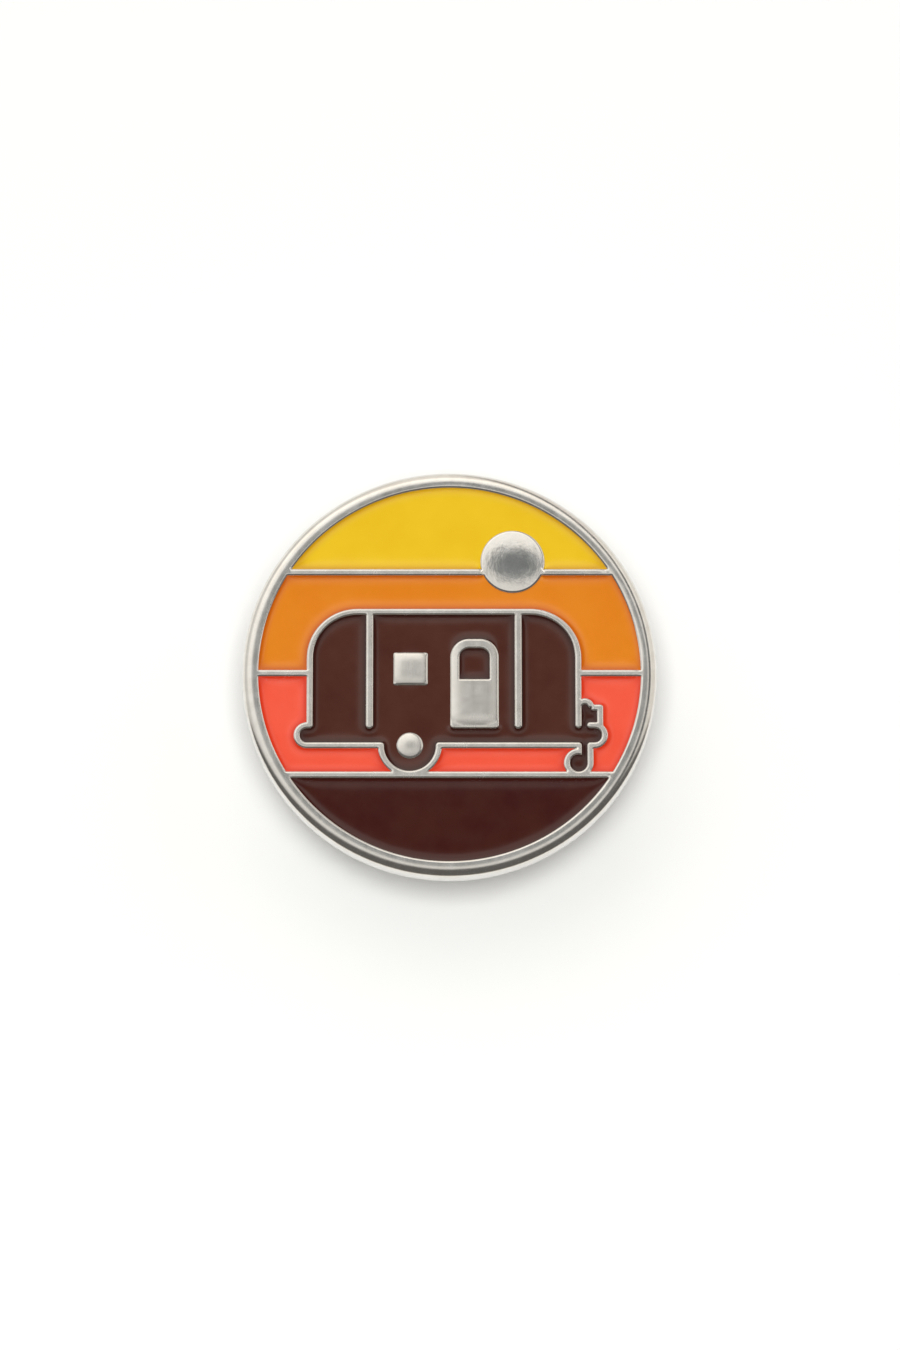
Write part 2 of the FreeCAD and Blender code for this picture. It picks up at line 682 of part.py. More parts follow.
def make_clutch_cap(name):
    """The cap plate with its raised housing, open to the base."""
    body = new_body(name)
    plate_sketch = new_sketch(body, f"{name}_plate_outline", "XY_Plane", "{sheet_thickness}")
    add_circle(plate_sketch, "0", "0", "{well_radius} - {cap_clearance}")
    pad(body, plate_sketch, f"{name}_plate", "{sheet_thickness}")
    housing = new_sketch(body, f"{name}_housing_outline", "XY_Plane", "{sheet_thickness}")
    add_outline(housing, rectangle("-{housing_width} / 2", "{housing_width} / 2",
                                   "-{housing_length} / 2", "{housing_length} / 2",
                                   "{housing_corner}"))
    pad(body, housing, f"{name}_housing", "{housing_top} - {sheet_thickness}")
    cavity = new_sketch(body, f"{name}_cavity_outline", "XY_Plane", "{sheet_thickness}")
    add_outline(cavity, rectangle("-{cavity_width} / 2", "{cavity_width} / 2",
                                  "-{cavity_length} / 2", "{cavity_length} / 2",
                                  "{cavity_corner}"))
    pocket(body, cavity, f"{name}_cavity", "{cavity_top} - {sheet_thickness}", upwards=True)
    openings = new_sketch(body, f"{name}_opening_outlines", "XY_Plane", "{housing_top}")
    add_circle(openings, "0", "0", "{housing_hole_radius}")
    slot_near = "{upright_y} - {half_sheet} - {slot_clearance}"
    slot_far = "{upright_y} + {half_sheet} + {slot_clearance}"
    slot_side = "{jaw_width} / 2 + {slot_clearance}"
    add_outline(openings, rectangle(f"-({slot_side})", slot_side, slot_near, slot_far))
    add_outline(openings, rectangle(f"-({slot_side})", slot_side, f"-({slot_far})", f"-({slot_near})"))
    pocket(body, openings, f"{name}_openings", "{sheet_thickness}")
    return body


def make_wing(name):
    """One lever: a notched jaw blade, an upright through the housing, and the finger wing."""
    body = new_body(name)
    strip = new_sketch(body, f"{name}_strip_outline", "YZ_Plane")
    add_outline(strip, [
        ("{jaw_gap} / 2", "{jaw_height} - {half_sheet}"),
        ("{upright_y} + {half_sheet}", "{jaw_height} - {half_sheet}", "{outer_bend}"),
        ("{upright_y} + {half_sheet}", "{wing_root_height} - {root_mitre}", "{bend_radius}"),
        ("{knee_y} + {knee_mitre}", "{clutch_height} - {sheet_thickness}", "{bend_radius}"),
        ("{wing_reach}", "{clutch_height} - {sheet_thickness}", "{lip_end_rounding}"),
        ("{wing_reach}", "{clutch_height}", "{lip_end_rounding}"),
        ("{knee_y} - {knee_mitre}", "{clutch_height}", "{outer_bend}"),
        ("{upright_y} - {half_sheet}", "{wing_root_height} + {root_mitre}", "{outer_bend}"),
        ("{upright_y} - {half_sheet}", "{jaw_height} + {half_sheet}", "{bend_radius}"),
        ("{jaw_gap} / 2", "{jaw_height} + {half_sheet}"),
    ])
    pad(body, strip, f"{name}_strip", "{wing_width}", midplane=True)
    sides = new_sketch(body, f"{name}_side_outlines", "XZ_Plane")
    shoulder = "{wing_root_height} - {shoulder_drop}"
    add_outline(sides, rectangle("{jaw_width} / 2", "{wing_width}", "0", shoulder))
    add_outline(sides, rectangle("-{wing_width}", "-{jaw_width} / 2", "0", shoulder))
    pocket(body, sides, f"{name}_narrow_jaw", "{through_cut}", midplane=True)
    notch = new_sketch(body, f"{name}_notch_outline", "XY_Plane")
    add_circle(notch, "0", "0", "{post_radius} + {grip_clearance}")
    pocket(body, notch, f"{name}_notch", "{through_cut}", midplane=True)
    paddle = new_sketch(body, f"{name}_paddle_outline", "XY_Plane")
    add_outline(paddle, rectangle("-{wing_width}", "{wing_width}", "-2 * {wing_reach}", "2 * {wing_reach}"))
    add_outline(paddle, rectangle("-{wing_width} / 2", "{wing_width} / 2",
                                  "-{wing_reach}", "{wing_reach}", "{wing_tip_corner}"))
    pocket(body, paddle, f"{name}_paddle_corners", "{through_cut}", midplane=True)
    return body


def make_spring(name):
    """A wire bent round both jaws, with its ends left apart."""
    body = new_body(name)
    path = new_sketch(body, f"{name}_path", "XY_Plane", "{cavity_top} - {spring_wire_radius}")
    half_length = value("{spring_half_length}")
    half_width = value("{spring_half_width}")
    mouth = value("{spring_mouth}") / 2
    corner = value("{spring_corner}")
    corners = [
        VECTOR(half_width, mouth, 0),
        VECTOR(half_width, half_length, 0),
        VECTOR(-half_width, half_length, 0),
        VECTOR(-half_width, -half_length, 0),
        VECTOR(half_width, -half_length, 0),
        VECTOR(half_width, -mouth, 0),
    ]
    names = [
        ("{spring_half_width}", "{spring_mouth} / 2"),
        ("{spring_half_width}", "{spring_half_length}"),
        ("-{spring_half_width}", "{spring_half_length}"),
        ("-{spring_half_width}", "-{spring_half_length}"),
        ("{spring_half_width}", "-{spring_half_length}"),
        ("{spring_half_width}", "-{spring_mouth} / 2"),
    ]
    add_open_path(path, corners, names, corner, "{spring_corner}")
    wire = new_sketch(body, f"{name}_wire_outline", "XZ_Plane", "-{spring_mouth} / 2")
    add_circle(wire, "{spring_half_width}", "{cavity_top} - {spring_wire_radius}", "{spring_wire_radius}")
    pipe = body.newObject("PartDesign::AdditivePipe", f"{name}_bent")
    pipe.Profile = wire
    pipe.Spine = path
    return body


TURNED_OVER = FreeCAD.Rotation(VECTOR(1, 0, 0), 180)
TURNED_OTHER_WAY = FreeCAD.Rotation(VECTOR(0, 1, 0), 180)
SIDES = (("left", "-{post_spacing} / 2"), ("right", "{post_spacing} / 2"))


def hang(body, label, x, level, rotation=TURNED_OVER):
    """Places a piece that was drawn with +Z away from the badge."""
    body.Placement.Rotation = rotation
    place(body, x, "0", level)
    finish(body, label)


for side, post_x in SIDES:
    hang(make_post(f"{side}_post"), f"{side}_post", post_x, "{back_level}")
    hang(make_solder(f"{side}_post_solder"), f"{side}_post_solder", post_x, "{back_level}")
    hang(make_clutch_base(f"{side}_clutch_base"), f"{side}_clutch_base", post_x, "{clutch_height}")
    hang(make_clutch_cap(f"{side}_clutch_cap"), f"{side}_clutch_cap", post_x, "{clutch_height}")
    hang(make_spring(f"{side}_clutch_spring"), f"{side}_clutch_spring", post_x, "{clutch_height}")
    hang(make_wing(f"{side}_lower_wing"), f"{side}_lower_wing", post_x, "{clutch_height}")
    hang(make_wing(f"{side}_upper_wing"), f"{side}_upper_wing", post_x, "{clutch_height}",
         TURNED_OTHER_WAY)

# ---------------------------------------------------------------- checks and export
doc.recompute()
for item in doc.Objects:
    if "Invalid" in item.State or "Error" in item.State:
        raise RuntimeError(f"{item.Label} failed to build: {item.State}")
for item in parts:
    if item.Shape.isNull() or not item.Shape.isValid():
        raise RuntimeError(f"{item.Label} has no valid shape")
    if len(item.Shape.Solids) != 1:
        raise RuntimeError(f"{item.Label} should be one solid, not {len(item.Shape.Solids)}")

os.makedirs("parts", exist_ok=True)
for item in parts:
    item.Shape.exportStep(f"parts/{item.Label}.step")
    print(f"{item.Label}: {item.Shape.Volume:.2f} mm3")
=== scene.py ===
import math

import bmesh
import bpy
import numpy as np
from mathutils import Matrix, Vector, kdtree
from mathutils.geometry import delaunay_2d_cdt


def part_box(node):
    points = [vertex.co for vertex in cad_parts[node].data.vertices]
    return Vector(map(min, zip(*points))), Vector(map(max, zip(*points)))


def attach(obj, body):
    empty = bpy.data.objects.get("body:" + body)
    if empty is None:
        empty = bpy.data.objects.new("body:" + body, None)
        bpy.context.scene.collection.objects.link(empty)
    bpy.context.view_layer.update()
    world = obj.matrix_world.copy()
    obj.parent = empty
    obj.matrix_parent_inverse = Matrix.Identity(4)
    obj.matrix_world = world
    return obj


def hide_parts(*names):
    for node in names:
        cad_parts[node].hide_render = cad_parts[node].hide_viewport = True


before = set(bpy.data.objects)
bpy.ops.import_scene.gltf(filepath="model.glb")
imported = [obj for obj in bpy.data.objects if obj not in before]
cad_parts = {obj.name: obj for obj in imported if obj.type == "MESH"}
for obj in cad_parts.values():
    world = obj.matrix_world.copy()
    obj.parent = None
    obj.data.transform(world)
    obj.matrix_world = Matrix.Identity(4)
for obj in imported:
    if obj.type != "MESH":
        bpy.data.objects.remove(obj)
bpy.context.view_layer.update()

# ---------------------------------------------------------------- camera, table and light
# The pin lies face up on a white table and is seen from its foot, from high up, with a long
# lens.  A pale sheet stands beyond its top, the viewer's side of the room is dark, and a soft
# lamp hangs over it.
MM = 0.001
badge_low, badge_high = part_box("struck_body")

view_height = math.radians(77.4)
view_distance = 0.4315
view_line = Vector((0, -math.cos(view_height), math.sin(view_height)))
aim_right, aim_up, aim_below_face = 0.00004, 0.00005, 0.0010
aim = Vector((aim_right, aim_up, badge_high.z - aim_below_face))
bpy.ops.object.select_all(action="DESELECT")
bpy.ops.object.camera_add(location=aim + view_line * view_distance)
camera = bpy.context.object
camera.name = "camera"
camera.rotation_euler = view_line.to_track_quat("Z", "Y").to_euler()
camera.data.lens = 150
camera.data.sensor_width = 36
camera.data.clip_start = 0.01
bpy.context.scene.camera = camera
bpy.context.scene.view_settings.view_transform = "Standard"


class Socket:
    """A shader socket that takes part in sums, and adds the nodes that work them out."""

    def __init__(self, tree, socket=None):
        self.tree = tree
        self.socket = socket

    def node(self, kind, settings=None, inputs=None, output=0):
        """Any node, by its type, its settings and the values or links of its sockets."""
        node = self.tree.nodes.new(kind)
        for name, setting in (settings or {}).items():
            setattr(node, name, setting)
        for name, given in (inputs or {}).items():
            if isinstance(given, Socket):
                self.tree.links.new(given.socket, node.inputs[name])
            else:
                node.inputs[name].default_value = given
        return Socket(self.tree, node.outputs[output])

    def sibling(self, output):
        """Another output of the same node."""
        return Socket(self.tree, self.socket.node.outputs[output])

    def math(self, operation, first, second=0.0):
        return self.node("ShaderNodeMath", {"operation": operation}, {0: first, 1: second})

    def __add__(self, other):
        return self.math("ADD", self, other)

    __radd__ = __add__

    def __mul__(self, other):
        return self.math("MULTIPLY", self, other)

    __rmul__ = __mul__

    def __sub__(self, other):
        return self.math("SUBTRACT", self, other)

    def __rsub__(self, other):
        return self.math("SUBTRACT", other, self)

    def between(self, low, high):
        """0 at low, 1 at high, and smooth between them."""
        return self.node("ShaderNodeMapRange", {"interpolation_type": "SMOOTHSTEP"},
                         {"Value": self, "From Min": low, "From Max": high})

    def mix(self, first, second):
        """The colour that lies this far from first to second."""
        return self.node("ShaderNodeMix", {"data_type": "RGBA"}, {0: self, 6: first, 7: second}, 2)


def new_finish(name):
    """A material, its main shader, and the point of the piece that is being coloured."""
    material = bpy.data.materials.new(name)
    material.use_nodes = True
    tree = material.node_tree
    shader = tree.nodes["Principled BSDF"]
    point = Socket(tree).node("ShaderNodeTexCoord", output=3)
    return material, shader, point


def feed(shader, name, source):
    shader.id_data.links.new(source.socket, shader.inputs[name])


def ripple(point, scale, detail=3.0, roughness=0.5, stretch=(1, 1, 1)):
    """Noise of this many ripples a metre, stretched along the piece's own axes."""
    placed = point.node("ShaderNodeMapping", inputs={"Vector": point, "Scale": stretch})
    return point.node("ShaderNodeTexNoise", inputs={"Vector": placed, "Scale": scale,
                                                    "Detail": detail, "Roughness": roughness})


def relief(shader, height, depth):
    """Fine relief on a surface; depth is a full step of the height, in metres."""
    feed(shader, "Normal", height.node("ShaderNodeBump", inputs={"Height": height, "Distance": depth}))


table_white, table_shader, table_point = new_finish("white_table")
table_cloud = ripple(table_point, 9.0)
feed(table_shader, "Base Color", table_cloud.mix((0.915, 0.925, 0.92, 1), (0.935, 0.945, 0.94, 1)))
feed(table_shader, "Roughness", 0.7 + 0.2 * table_cloud)
table_shader.inputs["Specular IOR Level"].default_value = 0.2
bpy.ops.mesh.primitive_grid_add(x_subdivisions=8, y_subdivisions=8, size=3.0, location=(0, 0, 0))
table = bpy.context.object
table.name = "table"
table.data.materials.append(table_white)

OVERHEAD = (1.14, 1.11, 1.06, 1)
BEYOND = (1.50, 1.43, 1.31, 1)
FAR_WALL = (0.93, 0.875, 0.80, 1)
LEFT_WALL = (0.72, 0.70, 0.665, 1)
LEFT_EDGE = (1.20, 1.16, 1.08, 1)
UPPER_LEFT = (0.86, 0.845, 0.81, 1)
UPPER_RIGHT = (0.80, 0.785, 0.75, 1)
RIGHT_WALL = (0.86, 0.82, 0.76, 1)
RIGHT_POST = (0.12, 0.12, 0.12, 1)
VIEWER_SIDE = (0.13, 0.125, 0.12, 1)
LOW_FRONT = (0.42, 0.37, 0.29, 1)
DARK_SPOT = (0.19, 0.205, 0.21, 1)
world = bpy.data.worlds.new("room")
bpy.context.scene.world = world
world.use_nodes = True
room = Socket(world.node_tree)
way = room.node("ShaderNodeTexCoord")
across = room.node("ShaderNodeSeparateXYZ", inputs={0: way})
forward, upward = across.sibling(1), across.sibling(2)
lean = forward.math("ARCTAN2", forward, upward)
sideways = across.math("ARCTAN2", across, upward)


def past(angle, start, end):
    """0 up to the start and 1 from the end, both in degrees."""
    return angle.between(math.radians(start), math.radians(end))


front = 1 - past(lean, -13, -2)
low_front = 1 - past(lean, -84, -78)
light_map = past(sideways, -60, 45).mix(UPPER_LEFT, UPPER_RIGHT)
light_map = past(lean, -2, 22).mix(light_map, OVERHEAD)
light_map = past(lean, 24, 38).mix(light_map, BEYOND)
light_map = past(lean, 40, 52).mix(light_map, FAR_WALL)
light_map = (1 - past(sideways, -50, -32)).mix(light_map, LEFT_WALL)
light_map = (1 - past(sideways, -84, -78)).mix(light_map, LEFT_EDGE)
light_map = past(sideways, 34, 46).mix(light_map, RIGHT_WALL)
post_side = past(sideways, 15, 19)
post_side = post_side * (1 - past(sideways, 30, 36))
light_map = post_side.mix(light_map, RIGHT_POST)
light_map = front.mix(light_map, VIEWER_SIDE)
light_map = low_front.mix(light_map, LOW_FRONT)
spot_side = (sideways - math.radians(1.8)) * (1 / math.radians(12.5))
spot_lean = (lean - math.radians(12.8)) * (1 / math.radians(7.4))
spot = spot_side * spot_side + spot_lean * spot_lean
light_map = (1 - spot.between(0.15, 1.2)).mix(light_map, DARK_SPOT)
world.node_tree.links.new(light_map.socket, world.node_tree.nodes["Background"].inputs["Color"])

lamp_height, lamp_lean, lamp_size, lamp_watts = 0.6, math.radians(7.5), 0.20, 2.3
lamp_line = Vector((0, -math.sin(lamp_lean), math.cos(lamp_lean)))
bpy.ops.object.light_add(type="AREA", location=lamp_line * lamp_height)
lamp = bpy.context.object
lamp.name = "soft_lamp"
lamp.data.size = lamp_size
lamp.data.energy = lamp_watts
lamp.rotation_euler = lamp_line.to_track_quat("Z", "Y").to_euler()
lamp.visible_glossy = False

# ---------------------------------------------------------------- struck badge
# One die-struck piece of soft iron, nickel plated and then polished: the border, the raised
# outlines, the sun, the door and the back plate are all the same metal.  Polishing rounds the
# edges of what stands up, and leaves the sun, the window, the door and the hub a little domed.
CORNER_TURN = math.radians(25)
OUTLINE_STEP = 0.09
EDGE_ROUNDING = 0.175
EDGE_DROP = 0.12
RIM_SEGMENTS = 288
ENAMEL_NODES = ("yellow_sky_enamel", "orange_sky_enamel", "left_coral_enamel", "middle_coral_enamel",
                "right_coral_enamel", "trailer_enamel", "door_window_enamel", "ground_enamel")


def node_outlines(node):
    """The closed outlines of a CAD node's top face, in millimetres, and the face's height."""
    shape = bmesh.new()
    shape.from_mesh(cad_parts[node].data)
    bmesh.ops.remove_doubles(shape, verts=shape.verts, dist=1e-7)
    top = max(vertex.co.z for vertex in shape.verts)
    follow = {}
    for face in shape.faces:
        if min(vertex.co.z for vertex in face.verts) < top - 1e-6:
            continue
        for loop in face.loops:
            others = [other for other in loop.edge.link_faces if other != face]
            if all(min(vertex.co.z for vertex in other.verts) < top - 1e-6 for other in others):
                follow[loop.vert] = loop.link_loop_next.vert
    outlines = []
    while follow:
        start, vertex = follow.popitem()
        outline = [start]
        while vertex is not start:
            outline.append(vertex)
            vertex = follow.pop(vertex)
        outlines.append(np.array([(v.co.x, v.co.y) for v in outline]) / MM)
    shape.free()
    return outlines, top / MM


def smooth_outline(points, step):
    """The same outline in short steps: straight edges stay straight and bends become round."""
    runs = np.roll(points, -1, axis=0) - points
    lengths = np.linalg.norm(runs, axis=1)
    ways = runs / lengths[:, None]
    before = np.roll(ways, 1, axis=0)
    before_length = np.roll(lengths, 1)
    corner = np.arccos(np.clip((before * ways).sum(1), -1, 1)) > CORNER_TURN
    tangents = before / before_length[:, None] + ways / lengths[:, None]
    after_straight = before_length > 2.5 * lengths
    before_straight = lengths > 2.5 * before_length
    tangents[after_straight] = before[after_straight]
    tangents[before_straight] = ways[before_straight]
    tangents /= np.linalg.norm(tangents, axis=1)[:, None]
    made = []
    for index, (a, reach, way) in enumerate(zip(points, lengths, ways)):
        after = (index + 1) % len(points)
        b = points[after]
        first, last = tangents[index], tangents[after]
        if corner[index] and corner[after]:
            first = last = way
        elif corner[index]:
            first = 2 * (last @ way) * way - last
        elif corner[after]:
            last = 2 * (first @ way) * way - first
        pieces = max(1, round(reach / step))
        for t in np.arange(pieces) / pieces:
            made.append((2 * t**3 - 3 * t**2 + 1) * a + (t**3 - 2 * t**2 + t) * reach * first
                        + (3 * t**2 - 2 * t**3) * b + (t**3 - t**2) * reach * last)
    return np.array(made)


class Drawing:
    """Closed outlines in the plane: how far a point is from them, and which side it is on."""

    def __init__(self, loops):
        self.loops = loops
        self.points = np.concatenate(loops)
        starts = np.cumsum([0] + [len(loop) for loop in loops[:-1]])
        self.after = np.concatenate([start + np.roll(np.arange(len(loop)), -1)
                                     for start, loop in zip(starts, loops)])
        self.before = np.argsort(self.after)
        self.tree = kdtree.KDTree(len(self.points))
        for index, (x, y) in enumerate(self.points):
            self.tree.insert((x, y, 0), index)
        self.tree.balance()

    def distance(self, place):
        best = math.inf
        for _, index, _ in self.tree.find_n((place[0], place[1], 0), 3):
            for start, end in ((self.before[index], index), (index, self.after[index])):
                a = self.points[start]
                run = self.points[end] - a
                t = min(1.0, max(0.0, ((place - a) @ run) / (run @ run)))
                best = min(best, np.linalg.norm(place - a - t * run))
        return best

    def holds(self, places):
        """Whether each place is inside an odd number of the outlines."""
        a = self.points
        b = self.points[self.after]
        inside = []
        for x, y in places:
            crosses = (a[:, 1] > y) != (b[:, 1] > y)
            low, high = a[crosses], b[crosses]
            hit = low[:, 0] + (y - low[:, 1]) / (high[:, 1] - low[:, 1]) * (high[:, 0] - low[:, 0])
            inside.append(np.count_nonzero(hit > x) % 2 == 1)
        return np.array(inside, bool)

    def rings(self, offsets, side):
        """Points beside the outlines at each offset, to their left (1) or right (-1)."""
        way = self.points[self.after] - self.points[self.before]
        way /= np.linalg.norm(way, axis=1)[:, None]
        normal = np.stack([-way[:, 1], way[:, 0]], axis=1) * side
        kept = []
        for number, offset in enumerate(offsets):
            stride = 1 if offset < 0.3 else 2
            for place in (self.points + normal * offset)[number % stride::stride]:
                if self.distance(place) > 0.97 * offset:
                    kept.append(place)
        return kept


def fill_between(drawing, extra):
    """Triangles over the whole drawing, through its outlines and the extra points."""
    edges = [(index, int(after)) for index, after in enumerate(drawing.after)]
    corners = [Vector(place) for place in drawing.points] + [Vector(place) for place in extra]
    points, _, triangles, _, _, _ = delaunay_2d_cdt(corners, edges, [], 0, 1e-7)
    return np.array(points), np.array(triangles)


def circle(radius, segments, x=0.0):
    turns = [2 * math.pi * index / segments for index in range(segments)]
    return np.array([(x + radius * math.cos(turn), radius * math.sin(turn)) for turn in turns])


def select_only(piece):
    bpy.ops.object.select_all(action="DESELECT")
    bpy.context.view_layer.objects.active = piece
    piece.select_set(True)


def finish_piece(piece, finish, body, node, sharp=30):
    """Brings a piece modelled in millimetres to size, cleans it, and puts it on its body."""
    select_only(piece)
    piece.location *= MM
    piece.scale *= MM
    bpy.ops.object.transform_apply(location=True, rotation=True, scale=True)
    bpy.ops.object.mode_set(mode="EDIT")
    bpy.ops.mesh.select_all(action="SELECT")
    bpy.ops.mesh.remove_doubles(threshold=1e-7)
    bpy.ops.mesh.normals_make_consistent(inside=False)
    bpy.ops.object.mode_set(mode="OBJECT")
    bpy.ops.object.shade_smooth_by_angle(angle=math.radians(sharp))
    piece.data.materials.clear()
    piece.data.materials.append(finish)
    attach(piece, body)
    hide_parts(node)
    return piece


def piece_from(name, points, faces):
    """An object from points in millimetres and its faces."""
    mesh = bpy.data.meshes.new(name)
    mesh.from_pydata([tuple(point) for point in points], [], [tuple(face) for face in faces])
    piece = bpy.data.objects.new(name, mesh)
    bpy.context.collection.objects.link(piece)
    return piece


outlines = {}
levels = {}
for node in ENAMEL_NODES:
    loops, levels[node] = node_outlines(node)
    outlines[node] = [smooth_outline(loop, OUTLINE_STEP) for loop in loops]
cells = Drawing([loop for node in ENAMEL_NODES for loop in outlines[node]])

disc_radius = (badge_high.x - badge_low.x) / 2 / MM
crown_radius = 15.0
crown_drop = 0.62
crown_power = 2 / 2.4
crown_steps = 18
back_rounding = 0.2
back_steps = 6
lattice = np.arange(-14.8, 14.9, 0.22)
lattice_gap = 0.22
beside_lines = [0.015, 0.035, 0.06, 0.09, 0.13, EDGE_ROUNDING, 0.22]
seat_radius = 1.9
seat_depth = 0.3
border_dip, border_dip_radius, border_dip_width = 0.042, 14.5, 0.26
least_wear, side_wear, wear_ripple, worn_side = 0.08, 0.92, 0.12, math.radians(25)
face_mm = badge_high.z / MM
back_mm = badge_low.z / MM
floor_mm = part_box("yellow_sky_enamel")[0].z / MM
sun_middle, sun_radius, sun_dome = (4.85, 8.79), 2.49, 0.12
hub_middle, hub_radius, hub_dome = (-3.03, -5.65), 1.04, 0.115
round_dome_power = 2.2
window_middle, window_half, window_dome, window_dome_power = (-2.98, 0.35), 1.32, 0.10, 3.5
door_middle, door_half, door_foot, door_head = 1.92, 1.88, -4.1, 2.8
door_dome, door_dome_power, foot_dome, foot_length = 0.11, 4, 0.12, 1.0
POLISH_LIMIT = 0.12
post_places = [(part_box(f"{side}_post")[0].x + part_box(f"{side}_post")[1].x) / 2 / MM for side in ("left", "right")]


def polish(x, y):
    """How far the polishing wheel has taken down this point of the raised metal."""
    turn = math.atan2(y, x)
    worn = (least_wear + side_wear * max(0.0, math.cos(turn - worn_side))
            + wear_ripple * math.sin(11 * turn) * math.sin(4 * turn))
    middle = border_dip_radius + 0.10 * math.sin(5 * turn) + 0.05 * math.sin(17 * turn)
    down = worn * border_dip * math.exp(-((math.hypot(x, y) - middle) / border_dip_width) ** 2)
    from_sun = math.hypot(x - sun_middle[0], y - sun_middle[1]) / sun_radius
    if from_sun < 1.02:
        down += sun_dome * from_sun ** round_dome_power
    from_hub = math.hypot(x - hub_middle[0], y - hub_middle[1]) / hub_radius
    if from_hub < 1.02:
        down += hub_dome * from_hub ** round_dome_power
    across = abs(x - window_middle[0]) / window_half
    along = abs(y - window_middle[1]) / window_half
    if max(across, along) < 1.05:
        down += window_dome * (across ** window_dome_power + along ** window_dome_power)
    across = abs(x - door_middle) / door_half
    if across < 1.05 and door_foot - 0.1 < y < door_head:
        down += door_dome * across ** door_dome_power
        down += foot_dome * min(1.0, max(0.0, 1 - (y - door_foot) / foot_length)) ** 2
    return min(down, POLISH_LIMIT)


def rounding(away):
    """How far a rounded edge has fallen at this distance in from it."""
    inward = max(0.0, 1 - away / EDGE_ROUNDING)
    return EDGE_DROP - EDGE_DROP * math.sqrt(1 - inward**2)


def build_badge():
    border = circle(crown_radius, RIM_SEGMENTS)
    plan = Drawing(cells.loops + [border])
    # the outlines run anticlockwise round the enamel, so the metal is on their right
    beside = cells.rings(beside_lines, -1)
    spread = [np.array((x, y)) for x in lattice for y in lattice if math.hypot(x, y) < crown_radius - 0.08]
    spread = [place for place in spread if cells.tree.find((place[0], place[1], 0))[2] > lattice_gap]
    on_metal = ~cells.holds(spread)
    spread = [place for place, metal in zip(spread, on_metal) if metal]
    points, triangles = fill_between(plan, beside + spread)
    outline_count = len(cells.points)
    verts = []
    for index, (x, y) in enumerate(points):
        away = cells.distance(points[index]) if index >= outline_count else 0.0
        if outline_count <= index < outline_count + RIM_SEGMENTS:
            away = EDGE_ROUNDING
        verts.append((x, y, face_mm - rounding(away) - polish(x, y)))
    only_outline = (triangles < outline_count).all(axis=1)
    enamelled = np.zeros(len(triangles), bool)
    enamelled[only_outline] = cells.holds(points[triangles[only_outline]].mean(axis=1))
    faces = [tuple(triangle) for triangle in triangles[~enamelled]]
    low = len(verts)
    verts += [(x, y, floor_mm) for x, y in cells.points]
    faces += [(index, int(after), int(after) + low, index + low) for index, after in enumerate(cells.after)]
    faces += [tuple(triangle + low) for triangle in triangles[enamelled]]
    # crown of the border, side wall and back edge, turned round the middle
    profile = []
    for step in range(crown_steps + 1):
        turn = math.pi / 2 * step / crown_steps
        profile.append((crown_radius + (disc_radius - crown_radius) * math.sin(turn) ** crown_power,
                        face_mm - crown_drop + crown_drop * math.cos(turn) ** crown_power))
    for step in range(back_steps + 1):
        turn = math.pi / 2 * step / back_steps
        profile.append((disc_radius - back_rounding + back_rounding * math.cos(turn),
                        back_mm + back_rounding - back_rounding * math.sin(turn)))
    start = len(verts)
    for radius, height in profile:
        on_face = radius == crown_radius
        verts += [(x, y, height - polish(x, y) * on_face) for x, y in circle(radius, RIM_SEGMENTS)]
    for row in range(len(profile) - 1):
        base = start + row * RIM_SEGMENTS
        for index in range(RIM_SEGMENTS):
            after = (index + 1) % RIM_SEGMENTS
            below = base + RIM_SEGMENTS
            faces.append((base + index, base + after, below + after, below + index))
    # back plate with the two seats that the posts are soldered into
    seats = [circle(seat_radius, 96, x) for x in post_places]
    back_plan = Drawing([circle(profile[-1][0], RIM_SEGMENTS)] + seats)
    back_points, back_triangles = fill_between(back_plan, [])
    middles = back_points[back_triangles].mean(axis=1)
    in_seat = (back_triangles >= RIM_SEGMENTS).all(axis=1)
    in_seat &= np.any([np.hypot(middles[:, 0] - x, middles[:, 1]) < seat_radius for x in post_places], axis=0)
    start = len(verts)
    verts += [(x, y, back_mm) for x, y in back_points]
    faces += [tuple(triangle + start) for triangle in back_triangles[~in_seat]]
    deep = len(verts)
    verts += [(x, y, back_mm + seat_depth) for x, y in back_points]
    faces += [tuple(triangle + deep) for triangle in back_triangles[in_seat]]
    for index in range(RIM_SEGMENTS, len(back_points)):
        after = int(back_plan.after[index])
        faces.append((start + index, start + after, deep + after, deep + index))
    return piece_from("badge_metal", verts, faces)


